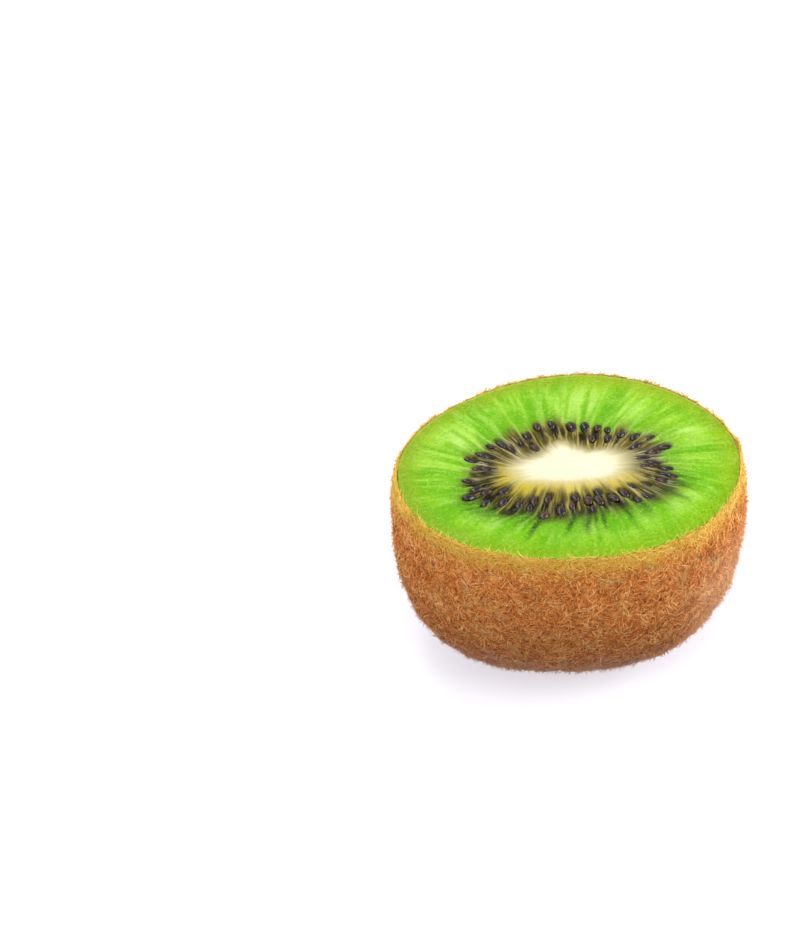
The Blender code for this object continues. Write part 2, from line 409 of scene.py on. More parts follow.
def chamberParts(turn, station):
    # how far a place is from the nearest chamber wall, that wall's number and the chamber's; the
    # walls waver round the ring and outwards
    phase = face["chambers"] * turn / math.tau + 0.12 * np.sin(5.0 * turn + 1.0)
    phase = phase + 0.10 * np.sin(13.0 * turn)
    phase = phase + 0.07 * np.sin(4.0 * station + 9.0 * turn) + 0.04 * np.sin(9.0 * station - 17.0 * turn)
    nearest = np.round(phase)
    wall = np.mod(nearest.astype(int), face["chambers"])
    chamber = np.mod(np.floor(phase).astype(int), face["chambers"])
    return np.abs(phase - nearest), wall, chamber


def makeFlesh(material):
    stations = fleshStations()
    profile = [(station, 0) for station in stations]
    profile += [(rimStation, ring) for ring in range(1, flesh["sideRings"] + 1)]
    profile += [(0.0, flesh["sideRings"])]
    mesh = lathe("flesh", profile, flesh["steps"])
    blank = placesOf(mesh)
    station = np.minimum(np.hypot(blank[:, 0], blank[:, 1]), rimStation)
    turn = np.arctan2(blank[:, 1], blank[:, 0])
    ring = np.round(-blank[:, 2])
    x, y = facePlan(station, turn)
    # tuck the rim under the skin
    reach = np.hypot(x, y) + tiny
    tuck = 1.0 - flesh["tuck"] / reach * smoothStep(*flesh["tuckFade"], station)
    x, y = x * tuck, y * tuck
    look = faceLook(station, turn, x, y)
    z = faceHeight(station, turn) + look.pop("rise") * (ring == 0)
    # the side and the bottom follow the skin from inside
    below = ring > 0
    height = z - (fruit["height"] - flesh["bottom"]) * (ring / flesh["sideRings"]) ** 0.8
    sideX, sideY = sidePlan(np.clip(height, 0.0, fruit["height"]), turn - face["rayTwist"])
    sideReach = np.hypot(sideX, sideY) + tiny
    inward = 1.0 - 2.0 * flesh["tuck"] / sideReach
    x = np.where(below, sideX * inward * (station > 0.5), x)
    y = np.where(below, sideY * inward * (station > 0.5), y)
    z = np.where(below, height, z)
    setPlaces(mesh, np.stack([x, y, z], axis=1))
    for name, values in look.items():
        paint(mesh, name, values)
    paint(mesh, "rayPlace", np.stack([np.cos(turn), np.sin(turn), station], axis=1))
    print("kiwi: flesh points", len(mesh.vertices))
    piece = addPiece("flesh", mesh, material)
    # the rim is a crisp edge
    onRim = (ring == 0) & (station > rimStation - 0.001)
    ends = np.empty(len(mesh.edges) * 2, dtype=np.int32)
    mesh.edges.foreach_get("vertices", ends)
    crisp = mesh.attributes.get("sharp_edge") or mesh.attributes.new("sharp_edge", "BOOLEAN", "EDGE")
    crisp.data.foreach_set("value", onRim[ends.reshape(-1, 2)].all(axis=1))
    return piece


# Marks on the cut face, as shares from 0 to 1. A fade holds the stations where a mark starts to
# show and where it is full, a band also where it starts to go and has gone, and a spread its least
# value and what a full share adds. A wander says how far each kind of streak moves a mark.

coreMark = dict(
    edge=1.03,
    edgeWaves=((1, 0.012, 2.62), (2, 0.031, 1.73), (3, 0.035, -2.26)),
    wander=dict(fringe=0.16, broad=0.08),
    fade=(-0.55, 0.36),  # from its edge
)
fibreMark = dict(
    wallWidth=(0.040, 0.050),
    wallWidening=1.8,
    wallPale=(0.45, 0.40),
    wallOwnPale=(0.40, 0.75),
    wallFade=(0.92, 1.10),
    wallEnd=(2.30, 0.55),
    wallEndFade=(-0.55, 0.15),  # from its end
    farReach=0.15,
    beyondRing=(1.85, 2.25),
    beyondLoss=(0.30, 0.62),
    nearSide=(0.25, 0.80),
    threadCrest=(0.58, 0.88),
    threadBand=(0.92, 1.15, 1.80, 2.10),
    threadPale=0.55,
    rightThreads=0.6,
    rightThreadFade=(1.40, 1.65),
    looseCrest=(0.55, 0.95),
    looseBand=(1.9, 2.2, 2.35, 2.85),
    loosePale=(0.60, -0.50),
)
gelMark = dict(
    fade=(0.60, 0.80),
    end=1.93,
    endWander=dict(ownEnd=0.34, medium=0.18, fine=0.12),
    endFade=(-0.18, 0.16),  # from its end
    nearReach=0.08,
    yellowFade=(1.16, 1.56),
    yellowWander=dict(medium=0.30, fine=0.20, ownDark=0.16),
    darkSidePull=0.17,
    yellowSide=(0.42, 0.86),
    leftPull=0.34,
    rightPush=0.35,
)
darkMark = dict(
    side=(0.50, 0.25),
    darkSide=0.36,
    farSide=0.40,
    halo=(0.0013, 0.00052),  # a deep seed's shade, along and aside of it, in metres
    body=(0.00105, 0.00060),
    bodyEdge=1.6,
    bodySize=0.62,  # smaller ones show as shade alone
    bodyFade=(1.18, 1.40),
    haloShade=(0.45, 0.75),
    streakShade=0.75,
    streakFade=(0.66, 0.25),
    ringShade=0.60,
    ringBand=(1.40, 1.70, 1.95, 2.15),
    farShift=0.24,
    ownShade=(0.6, 0.8),
    darkestShade=(0.86, 0.30),
    darkestSide=(0.5, 0.95),
    darkestFade=(1.3, 1.5),
    rightLoss=0.55,
    rightFade=(1.25, 1.60),
)
fingerMark = dict(
    count=58,
    width=(0.34, 0.20),
    narrowing=(1.9, 2.6),
    fade=(1.60, 1.85),
    end=2.12,
    reach=(0.12, 0.42),
    endFade=(-0.42, 0.10),  # from its end
    ownShade=(0.65, 0.50),
    side=(0.42, 0.94),
    shadeBand=(1.78, 1.94, 2.00, 2.34),
    shade=(0.16, 0.50),
)
greenMark = dict(
    deepBand=(1.80, 1.98, 2.15, 2.66),
    deepShade=(0.45, 0.75),
    # painted shade on the near side of the flesh
    nearPaintedShade=0.42,
    nearPaintedShadeFade=(2.0, 2.3),
    rayWander=dict(broad=0.9, medium=0.6, thread=0.3),
    # painted sheen on the wet flesh: where it shows, its stations, and how pale it is
    paintedSheenCrest=(0.52, 0.95),
    paintedSheenBand=(2.05, 2.35, 2.40, 2.82),
    paintedSheenPale=(0.35, 0.65),
    onRight=(0.45, 0.95),
    coolLeft=math.radians(150),
)


def spread(pair, share):
    return pair[0] + pair[1] * share


def wander(at, sizes):
    return sum(size * (getattr(at, name) - 0.5) for name, size in sizes.items())


def endFade(station, end, fade):
    return 1.0 - smoothStep(end + fade[0], end + fade[1], station)


def spotsOf(station, turn, x, y):
    # what the marks depend on, for each point of the cut face
    rng = np.random.default_rng(flesh["draw"])
    wallAway, wallNumber, chamber = chamberParts(turn, station)
    at = SimpleNamespace(station=station, turn=turn, x=x, y=y, rng=rng, wallAway=wallAway)
    at.ownWall = rng.random(face["chambers"])[wallNumber]
    at.ownEnd = rng.random(face["chambers"])[chamber]
    at.ownDark = rng.random(face["chambers"])[chamber]
    at.near = 0.5 - 0.5 * np.sin(turn)  # 1 on the camera's side, 0 on the far side
    at.left = 0.5 - 0.5 * np.cos(turn)
    at.right = np.maximum(0.0, np.cos(turn))
    at.far = np.maximum(0.0, np.sin(turn))
    at.darkSide = np.cos(turn - flesh["darkestTurn"])
    for name, grid in flesh["streaks"].items():
        setattr(at, name, streaks(turn, station, *grid))
    return at


def coreShare(at):
    # the core fades out in a soft radial fringe
    edge = coreMark["edge"] + waves(at.turn, coreMark["edgeWaves"]) + wander(at, coreMark["wander"])
    return 1.0 - smoothStep(*coreMark["fade"], at.station - edge)


def gelShares(at):
    # chambers of clear gel that show the dark behind them, yellow by the core, near and left
    end = gelMark["end"] + wander(at, gelMark["endWander"]) + gelMark["nearReach"] * at.near**3
    gel = smoothStep(*gelMark["fade"], at.station) * endFade(at.station, end, gelMark["endFade"])
    uneven = wander(at, gelMark["yellowWander"]) + gelMark["darkSidePull"] * np.maximum(0.0, at.darkSide)
    side = at.near + gelMark["leftPull"] * at.left - gelMark["rightPush"] * at.right**2
    yellow = 1.0 - smoothStep(*gelMark["yellowFade"], at.station + uneven)
    return gel, yellow * smoothStep(*gelMark["yellowSide"], side)


def fibreShares(at, yellow):
    # pale walls between the chambers, which run on into the flesh as soft rays, and fine threads
    beyond = smoothStep(*fibreMark["beyondRing"], at.station)
    width = spread(fibreMark["wallWidth"], at.medium) * (1.0 + fibreMark["wallWidening"] * beyond)
    wall = np.exp(-((at.wallAway / width) ** 2)) * spread(fibreMark["wallPale"], at.fine)
    wall = wall * spread(fibreMark["wallOwnPale"], at.ownWall)
    wall = wall * smoothStep(*fibreMark["wallFade"], at.station)
    end = spread(fibreMark["wallEnd"], at.ownWall) + fibreMark["farReach"] * (1.0 - at.near)
    wall = wall * endFade(at.station, end, fibreMark["wallEndFade"])
    nearSide = smoothStep(*fibreMark["nearSide"], at.near)
    wall = wall * (1.0 - beyond * spread(fibreMark["beyondLoss"], nearSide))
    threads = smoothStep(*fibreMark["threadCrest"], at.thread) * band(at.station, *fibreMark["threadBand"])
    threads = threads * fibreMark["threadPale"]
    loose = smoothStep(*fibreMark["looseCrest"], at.medium) * band(at.station, *fibreMark["looseBand"])
    loose = loose * spread(fibreMark["loosePale"], at.near)
    # they are lost in the yellow and in the darkest part of the ring
    darkest = smoothStep(0.70, 1.0, at.darkSide) * smoothStep(1.30, 1.50, at.station)
    threads = threads * (1.0 - 0.55 * yellow) * (1.0 - 0.55 * darkest)
    onRight = at.right * (1.0 - smoothStep(*fibreMark["rightThreadFade"], at.station))
    threads = threads * (1.0 + fibreMark["rightThreads"] * onRight)
    wall = wall * (1.0 - 0.30 * yellow) * (1.0 - 0.35 * darkest)
    return wall, threads, np.clip(wall + threads + loose, 0.0, 1.0)


def fromSeed(at, station, turn, twist):
    # how far each point lies from a seed's middle, along the seed and aside of it
    seedX, seedY = facePlan(station, turn)
    heading = seedHeading(station, turn, twist)
    along = (at.x - seedX) * math.cos(heading) + (at.y - seedY) * math.sin(heading)
    aside = (at.y - seedY) * math.cos(heading) - (at.x - seedX) * math.sin(heading)
    return along, aside


def deepShares(at):
    # the shade of the seeds that lie deeper, drawn out along the rays, and the larger ones' bodies
    halo = np.zeros_like(at.station)
    body = np.zeros_like(at.station)
    haloLong, haloWide = darkMark["halo"]
    bodyLong, bodyWide = darkMark["body"]
    for station, turn, size, twist in deepSeeds():
        along, aside = fromSeed(at, station, turn, twist)
        halo += np.exp(-((along / haloLong) ** 2) - (aside / haloWide) ** 2) * size
        blob = np.exp(-(((along / bodyLong) ** 2 + (aside / bodyWide) ** 2) ** darkMark["bodyEdge"]))
        body = np.maximum(body, blob * (size > darkMark["bodySize"]))
    return halo, body


def darkShare(at, gel, yellow, halo, lines):
    # the dark that shows through the gel, deepest on one side, and less under the walls and threads
    shadowed = spread(darkMark["side"], at.darkSide) + darkMark["farSide"] * at.far**6
    shadowed = shadowed + darkMark["darkSide"] * np.maximum(0.0, at.darkSide) ** 3
    dark = halo * spread(darkMark["haloShade"], shadowed)
    dark = dark + darkMark["streakShade"] * shadowed * smoothStep(*darkMark["streakFade"], at.fine)
    ring = band(at.station + darkMark["farShift"] * at.far, *darkMark["ringBand"])
    dark = dark + darkMark["ringShade"] * ring * shadowed * spread(darkMark["ownShade"], at.ownDark)
    darkest = smoothStep(*darkMark["darkestSide"], at.darkSide)
    darkest = darkest * smoothStep(*darkMark["darkestFade"], at.station)
    dark = dark * spread(darkMark["darkestShade"], darkest)
    onRight = at.right * (1.0 - smoothStep(*darkMark["rightFade"], at.station))
    dark = dark * (1.0 - darkMark["rightLoss"] * onRight)
    return np.clip(dark * gel * (1.0 - 0.85 * yellow), 0.0, 1.0) * (1.0 - 0.75 * np.clip(lines, 0.0, 1.0))


def fingerShare(at, onNear, wall, fibre):
    # dark green fingers outside the ring, longest and darkest on the near side
    slot = fingerMark["count"] * at.turn / math.tau + 0.30 * np.sin(9.0 * at.turn)
    slot = slot + 0.22 * np.sin(23.0 * at.turn + 2.0) + 0.10 * np.sin(5.0 * at.station + 11.0 * at.turn)
    finger = np.mod(np.floor(slot).astype(int), fingerMark["count"])
    fromMiddle = np.abs(slot - np.floor(slot) - 0.5)
    ownReach = at.rng.random(fingerMark["count"])[finger]
    ownWidth = spread(fingerMark["width"], at.rng.random(fingerMark["count"])[finger])
    end = fingerMark["end"] + spread(fingerMark["reach"], ownReach**1.5) * (0.15 + 0.85 * onNear)
    width = ownWidth * (1.0 - 0.50 * smoothStep(*fingerMark["narrowing"], at.station))
    fingers = np.exp(-((fromMiddle / width) ** 2)) * smoothStep(*fingerMark["fade"], at.station)
    fingers = fingers * endFade(at.station, end, fingerMark["endFade"])
    fingers = fingers * spread(fingerMark["ownShade"], ownReach) * (0.22 + 0.85 * onNear)
    fingers = np.clip(fingers, 0.0, 1.0) * (1.0 - 0.5 * wall)
    shade = band(at.station, *fingerMark["shadeBand"]) * spread(fingerMark["shade"], onNear)
    return np.clip(np.maximum(fingers, shade * (1.0 - 0.6 * fibre)), 0.0, 1.0)


def deepGreenAndShadeShare(at, fibre):
    # deep green just outside the ring, between the pale fibres, which is the flesh's own tone, and painted
    # shade over all of the near side
    deep = band(at.station, *greenMark["deepBand"]) * spread(greenMark["deepShade"], at.broad)
    deep = deep * (1.0 - 0.8 * fibre)
    deep = deep * (1.0 - 0.60 * smoothStep(*greenMark["onRight"], np.cos(at.turn)))
    nearSide = smoothStep(0.45, 0.95, at.near) * smoothStep(*greenMark["nearPaintedShadeFade"], at.station)
    return np.clip(deep + greenMark["nearPaintedShade"] * nearSide, 0.0, 1.0)


def paintedSheenShare(at):
    # painted sheen: broad pale rays painted where the wet flesh catches the light, on the far and left side
    paintedSheen = smoothStep(*greenMark["paintedSheenCrest"], 0.6 * at.broad + 0.4 * at.medium)
    paintedSheen = paintedSheen * band(at.station, *greenMark["paintedSheenBand"])
    return np.clip(paintedSheen * spread(greenMark["paintedSheenPale"], smoothStep(0.75, 0.25, at.near)), 0.0, 1.0)


def coolShare(at):
    # the fibres are cool and pale on the right and far left, and warm elsewhere
    farLeft = smoothStep(0.6, 1.0, np.cos(at.turn - greenMark["coolLeft"]))
    return np.clip(smoothStep(*greenMark["onRight"], np.cos(at.turn)) + 0.7 * farLeft, 0.0, 1.0)


def fineRelief(at, fibre):
    # fibres and chambers stand up a little, and the flesh swells unevenly
    rise = flesh["fibreRise"] * (fibre + 0.4 * (at.fine - 0.5))
    rise = rise * smoothStep(*flesh["fibreRiseFade"], at.station)
    rise = rise + flesh["gelRise"] * at.ownDark * band(at.station, *flesh["gelRiseBand"])
    swell = fieldOf(np.stack([at.x, at.y, np.zeros_like(at.x)], axis=1), flesh["swellLength"], 5)
    return rise + flesh["swell"] * swell * (1.0 - smoothStep(*flesh["swellFade"], at.station))


def faceLook(station, turn, x, y):
    # what shows on the cut face, and the fine relief in metres
    at = spotsOf(station, turn, x, y)
    core = coreShare(at)
    gel, yellow = gelShares(at)
    wall, threads, fibre = fibreShares(at, yellow)
    halo, body = deepShares(at)
    body = body * gel * smoothStep(*darkMark["bodyFade"], station)
    wall, threads, fibre = (line * (1.0 - 0.75 * body) for line in (wall, threads, fibre))
    dark = np.maximum(darkShare(at, gel, yellow, halo, wall + threads), 0.88 * body)
    onNear = smoothStep(*fingerMark["side"], at.near)
    look = dict(coreShare=core, fibreShare=fibre, gelShare=gel, yellowShare=yellow, coolShare=coolShare(at),
                paintedSheenShare=paintedSheenShare(at), deepGreenAndShade=deepGreenAndShadeShare(at, fibre),
                fingerShare=fingerShare(at, onNear, wall, fibre))
    look["rayShare"] = np.clip(0.5 + wander(at, greenMark["rayWander"]), 0.0, 1.0)
    rise = fineRelief(at, fibre)
    # each seed sits in a socket with a lip, and the flesh is dark round it
    for seedStation, seedTurn, size, twist in seedPlaces():
        along, aside = fromSeed(at, seedStation, seedTurn, twist)
        away = 2.0 / size * np.sqrt((along / seed["length"]) ** 2 + (aside / seed["width"]) ** 2)
        rise = rise - flesh["socketDepth"] * (1.0 - smoothStep(0.7, 1.15, away))
        rise = rise + flesh["socketLip"] * np.exp(-(((away - 1.32) / 0.22) ** 2))
        dark = np.maximum(dark, 0.75 * np.exp(-((np.maximum(away - 1.0, 0.0) / 0.34) ** 2)) * gel)
    return dict(look, rise=rise, darkShare=dark * (1.0 - core))


def deepSeeds():
    draw = random.Random(31)
    places = []
    for chamber in range(face["chambers"]):
        for _ in range(2):
            turn = math.tau * (chamber + 0.5 + draw.uniform(-0.2, 0.2)) / face["chambers"]
            places.append((draw.uniform(1.3, 2.0), turn, draw.uniform(0.3, 1.0), draw.uniform(-0.1, 0.1)))
    return places


# Skin

skin = dict(
    steps=480,
    aboveWidest=22,
    belowWidest=56,
    innerRings=10,
    thickness=0.00032,
    edgeRound=(0.00010, 0.00006),  # how far the edge's inside lies under the cut, and its top over it
    lumps=0.00012,
    lumpLengths=(0.007, 0.0022),
    footFade=(0.0, 0.004),  # no lumps where it rests
    rimWaver=0.00007,
    waverLengths=(0.0028, 0.0011),
    waverDepth=(0.002, 0.0005),
    bareFade=(-0.4, 1.4),
)


def sideHeights():
    rim = rimHeight()
    widest = fruit["height"] - fruit["widestBelowCut"]
    heights = [rim + (widest - rim) * step / skin["aboveWidest"] for step in range(skin["aboveWidest"] + 1)]
    lowestTurn = math.acos(fruit["restShare"] ** (0.5 * fruit["bluntness"]))
    for step in range(1, skin["belowWidest"] + 1):
        drop = math.sin(lowestTurn * step / skin["belowWidest"]) ** (2.0 / fruit["bluntness"])
        heights.append(widest - drop * poleDistance())
    heights[-1] = 0.0
    return np.array(heights)


def makeSkin(material):
    # a thin shell: its inner wall is at radius 1, the top of its edge at 1.5 and its outside at 2
    heights = sideHeights()
    last = len(heights) - 1
    inner = [(1.0, round(last * step / skin["innerRings"])) for step in range(skin["innerRings"] + 1)]
    profile = [(0.0, last)] + inner[::-1] + [(1.5, 0)]
    profile += [(2.0, level) for level in range(last + 1)] + [(0.0, last + 1)]
    mesh = lathe("skin", profile, skin["steps"])
    blank = placesOf(mesh)
    wall = np.hypot(blank[:, 0], blank[:, 1])
    turn = np.arctan2(blank[:, 1], blank[:, 0])
    level = np.round(-blank[:, 2]).astype(int)
    height = heights[np.minimum(level, last)]
    x, y = sidePlan(height, turn)
    places = np.stack([x, y, height], axis=1)
    reach = np.hypot(x, y) + tiny
    outside = wall > 1.9
    coarse, fine = skin["lumpLengths"]
    rough = fieldOf(places, coarse, 11) + 0.35 * fieldOf(places, fine, 12) - 1.0
    rough = skin["lumps"] * rough * smoothStep(*skin["footFade"], height) * outside
    inward = 1.0 + (rough - (2.0 - wall) * skin["thickness"]) / reach
    x, y = x * inward, y * inward
    z = height + np.where(wall < 1.2, skin["thickness"] * (1.0 - height / fruit["height"]) ** 2, 0.0)
    innerDrop, topRise = skin["edgeRound"]
    z = z - np.where((wall < 1.2) & (level == 0), innerDrop, 0.0)
    z = z + np.where(np.abs(wall - 1.5) < 0.1, topRise, 0.0)
    coarse, fine = skin["waverLengths"]
    waver = skin["rimWaver"] * (fieldOf(places, coarse, 13) + 0.6 * fieldOf(places, fine, 14))
    waverFrom, waverFull = skin["waverDepth"]
    z = z + waver * smoothStep(fruit["height"] - waverFrom, fruit["height"] - waverFull, height)
    axis = wall < 0.5
    x = np.where(axis, middle[0] + fruit["lean"][0], x)
    y = np.where(axis, middle[1] + fruit["lean"][1], y)
    z = np.where(axis, np.where(level > last, 0.0, skin["thickness"]), z)
    places = np.stack([x, y, z], axis=1)
    setPlaces(mesh, places)
    paint(mesh, "fromRim", (fruit["height"] - z) * 1000.0)  # in millimetres
    paint(mesh, "bareShare", smoothStep(*skin["bareFade"], bareness(places)))
    print("kiwi: skin points", len(mesh.vertices))
    addPiece("skin", mesh, material)
    # the outside as a grid of levels and turns, because a spin gives its faces in no fixed order
    step = np.round(turn / math.tau * skin["steps"]).astype(int) % skin["steps"]
    onGrid = outside & (level <= last)
    grid = np.zeros((last + 1, skin["steps"], 3))
    grid[level[onGrid], step[onGrid]] = places[onGrid].astype(np.float32)
    return grid


# Fuzz

# each kind's hairs: length and width in metres, lean off the skin in degrees, curl sideways and
# droop back to the skin as shares of the length
fuzz = dict(
    fuzzRust=dict(count=12400, length=(0.0009, 0.0021), width=0.00013, lean=(8, 34), curl=0.75, droop=0.55,
                  rings=3, seed=101),
    fuzzGold=dict(count=11000, length=(0.0009, 0.0020), width=0.00011, lean=(12, 42), curl=0.80, droop=0.50,
                  rings=3, seed=103),
    fuzzBrown=dict(count=17000, length=(0.0006, 0.0012), width=0.00011, lean=(6, 34), curl=0.6, droop=0.55,
                   rings=2, seed=102),
    fuzzStubble=dict(count=13000, length=(0.0004, 0.0009), width=0.00011, lean=(35, 85), curl=0.5, droop=0.25,
                     rings=2, seed=104),
    fuzzTall=dict(count=10500, length=(0.0007, 0.0017), width=0.00011, lean=(34, 84), curl=0.75, droop=0.26,
                  rings=3, seed=105),
)
rimFuzz = dict(
    count=4800,
    length=(0.0009, 0.0024),
    width=0.00009,
    lean=(2, 26),
    curl=0.75,
    droop=0.55,
    rings=3,
    seed=120,
    depth=0.0017,  # how far down from the cut they grow
    headingSpread=0.30,
    standing=1000,  # more of them, shorter, which stand over the edge
    standingLean=(-8, 50),
    standingLength=0.44,
)
hairs = dict(
    widthSpread=(0.75, 1.25),
    headingSpread=1.05,
    spareRoots=1.6,  # roots drawn for each hair, of which the thickest grown are kept
    patchiness=1.5,  # the lower it is, the more the hairs keep off the bare patches
    bareLength=0.0042,
    swirlLengths=(0.011, 0.0045),
    rootDepth=0.00006,
    overFloor=0.00002,
)


def hairBlank(rings):
    # a thin cone along Z, one long, cut into rings so that it can bend
    bm = bmesh.new()
    bmesh.ops.create_cone(bm, cap_ends=True, segments=3, radius1=1.0, radius2=0.0, depth=1.0)
    bmesh.ops.translate(bm, verts=bm.verts, vec=(0.0, 0.0, 0.5))
    bmesh.ops.remove_doubles(bm, verts=bm.verts, dist=1e-5)
    for ring in range(1, rings):
        bmesh.ops.bisect_plane(bm, geom=bm.verts[:] + bm.edges[:] + bm.faces[:],
                               plane_co=(0.0, 0.0, ring / rings), plane_no=(0.0, 0.0, 1.0))
    for vert in bm.verts:
        # keep the hair thick for most of its length
        taper = 1.0 - vert.co.z
        if taper > 0.01:
            full = (0.75 + 0.25 * min(1.0, 4.0 * vert.co.z)) * (1.0 - 0.55 * vert.co.z**2)
            vert.co.x *= full / taper
            vert.co.y *= full / taper
    bmesh.ops.recalc_face_normals(bm, faces=bm.faces)
    blank = bpy.data.meshes.new("hairBlank")
    bm.to_mesh(blank)
    bm.free()
    return blank


def skinSamples(grid, count, rng, lowest, highest):
    # random places on the skin's outside, even by area, with the way the skin faces there
    beside = np.roll(grid, -1, axis=1)
    leftHalves = np.stack([grid[:-1], grid[1:], beside[1:]], axis=2)
    rightHalves = np.stack([grid[:-1], beside[1:], beside[:-1]], axis=2)
    trio = np.concatenate([leftHalves.reshape(-1, 3, 3), rightHalves.reshape(-1, 3, 3)])
    first, second, third = trio[:, 0], trio[:, 1], trio[:, 2]
    across = np.cross(second - first, third - first)
    area = 0.5 * np.linalg.norm(across, axis=1)
    facing = across / np.maximum(2.0 * area, 1e-18)[:, None]
    centre = trio.mean(axis=1)
    usable = (facing[:, 2] < 0.6) & (centre[:, 2] > lowest) & (centre[:, 2] < highest)
    chance = np.where(usable, area, 0.0)
    chosen = rng.choice(len(area), size=count, p=chance / chance.sum())
    a, b = rng.random((2, count, 1))
    flip = a + b > 1.0
    a, b = np.where(flip, 1.0 - a, a), np.where(flip, 1.0 - b, b)
    roots = first[chosen] + a * (second - first)[chosen] + b * (third - first)[chosen]
    return roots, facing[chosen]


def growHairs(name, kind, roots, facing, heading, lean, length, width, curl, rng, material):
    # heading turns each hair on the skin, lean lifts it off, and curl bends it sideways
    blank = hairBlank(kind["rings"])
    shape = placesOf(blank)
    east = np.cross((0.0, 0.0, 1.0), facing)
    east /= np.maximum(np.linalg.norm(east, axis=1), 1e-6)[:, None]
    north = np.cross(facing, east)
    flat = np.cos(heading)[:, None] * east + np.sin(heading)[:, None] * north
    side = np.cross(facing, flat)
    up = flat * np.cos(lean)[:, None] + facing * np.sin(lean)[:, None]
    back = facing * np.cos(lean)[:, None] - flat * np.sin(lean)[:, None]
    along = shape[:, 2][None, :, None]
    droop = kind["droop"] * np.sin(lean)[:, None, None] * along * along
    centre = roots[:, None, :] - hairs["rootDepth"] * facing[:, None, :]
    centre = centre + length[:, None, None] * (up[:, None, :] * along - facing[:, None, :] * droop)
    centre = centre + (length * curl)[:, None, None] * side[:, None, :] * along * along
    thick = (0.5 * width)[:, None, None]
    offset = side[:, None, :] * shape[:, 0][None, :, None] + back[:, None, :] * shape[:, 1][None, :, None]
    copies = centre + thick * offset
    copies[:, :, 2] = np.maximum(copies[:, :, 2], hairs["overFloor"])
    mesh = joinedCopies(name, blank, copies)
    shades = np.clip(rng.random(len(roots)) + 0.15 * fieldOf(roots, 0.006, 40), 0.0, 1.0)
    paint(mesh, "hairShade", np.repeat(shades, len(shape)))
    paint(mesh, "hairAlong", np.tile(shape[:, 2], len(roots)))
    paint(mesh, "fromRim", np.repeat((fruit["height"] - roots[:, 2]) * 1000.0, len(shape)))
    bpy.data.meshes.remove(blank)
    print("kiwi:", name, len(roots), "hairs,", sum(len(p.vertices) - 2 for p in mesh.polygons), "triangles")
    return addPiece(name, mesh, material)


def bareness(places):
    # where the hairs are thin and more of the skin shows
    return fieldOf(places, hairs["bareLength"], 60)


def swirl(roots):
    # the hairs lie in swirls: a slowly changing heading over the skin
    coarse, fine = hairs["swirlLengths"]
    return math.pi * (fieldOf(roots, coarse, 21) + 0.6 * fieldOf(roots, fine, 22))


def makeFuzz(name, grid, material):
    kind = fuzz[name]
    rng = np.random.default_rng(kind["seed"])
    drawn = int(kind["count"] * hairs["spareRoots"])
    roots, facing = skinSamples(grid, drawn, rng, 0.0002, fruit["height"])
    thick = rng.normal(scale=hairs["patchiness"], size=len(roots)) - bareness(roots)
    keep = np.sort(np.argsort(-thick)[: kind["count"]])
    roots, facing = roots[keep], facing[keep]
    count = len(roots)
    heading = swirl(roots) + rng.normal(scale=hairs["headingSpread"], size=count)
    lean = np.radians(rng.uniform(*kind["lean"], size=count))
    length = rng.uniform(*kind["length"], size=count)
    width = kind["width"] * rng.uniform(*hairs["widthSpread"], size=count)
    curl = kind["curl"] * rng.uniform(-1.0, 1.0, size=count)
    return growHairs(name, kind, roots, facing, heading, lean, length, width, curl, rng, material)


def makeRimFuzz(grid, material):
    # golden hairs that lie along the cut edge, and some that stand over it
    rng = np.random.default_rng(rimFuzz["seed"])
    count = rimFuzz["count"] + rimFuzz["standing"]
    roots, facing = skinSamples(grid, count, rng, rimHeight() - rimFuzz["depth"], rimHeight())
    standing = np.arange(count) >= rimFuzz["count"]
    heading = rng.choice((0.0, math.pi), size=count)
    heading = heading + rng.normal(scale=rimFuzz["headingSpread"], size=count)
    heading = np.where(np.sin(heading) < -0.3, -heading, heading)
    heading = np.where(standing, rng.uniform(0.05, math.pi - 0.05, size=count), heading)
    upright = rng.uniform(*rimFuzz["standingLean"], size=count)
    lean = np.radians(np.where(standing, upright, rng.uniform(*rimFuzz["lean"], size=count)))
    length = rng.uniform(*rimFuzz["length"], size=count) * np.where(standing, rimFuzz["standingLength"], 1.0)
    width = rimFuzz["width"] * rng.uniform(*hairs["widthSpread"], size=count)
    curl = rimFuzz["curl"] * rng.uniform(-1.0, 1.0, size=count)
    return growHairs("rimFuzz", rimFuzz, roots, facing, heading, lean, length, width, curl, rng, material)


# Materials

def fromScreen(red, green, blue):
    # a colour as a screen shows it, as linear light
    light = [((v / 255.0 + 0.055) / 1.055) ** 2.4 if v > 10 else v / 3294.6 for v in (red, green, blue)]
    return (*light, 1.0)


def tonesOf(look):
    return {name: fromScreen(*value) for name, value in look["tones"].items()}


def newMaterial(name):
    material = bpy.data.materials.new(name)
    material.use_nodes = True
    tree = material.node_tree
    return material, tree, tree.nodes["Principled BSDF"]


def feed(tree, socket, value):
    if isinstance(value, bpy.types.NodeSocket):
        tree.links.new(value, socket)
    else:
        socket.default_value = value


def setSockets(shader, values):
    for name, value in values.items():
        shader.inputs[name].default_value = value


def mixColour(tree, factor, first, second):
    mix = tree.nodes.new("ShaderNodeMix")
    mix.data_type = "RGBA"
    feed(tree, mix.inputs["Factor"], factor)
    feed(tree, mix.inputs[6], first)
    feed(tree, mix.inputs[7], second)
    return mix.outputs[2]


def maths(tree, operation, first, second=0.0):
    step = tree.nodes.new("ShaderNodeMath")
    step.operation = operation
    feed(tree, step.inputs[0], first)
    feed(tree, step.inputs[1], second)
    return step.outputs[0]


def times(tree, first, second):
    return maths(tree, "MULTIPLY", first, second)


def reading(tree, name, output="Fac"):
    attribute = tree.nodes.new("ShaderNodeAttribute")
    attribute.attribute_name = name
    return attribute.outputs[output]


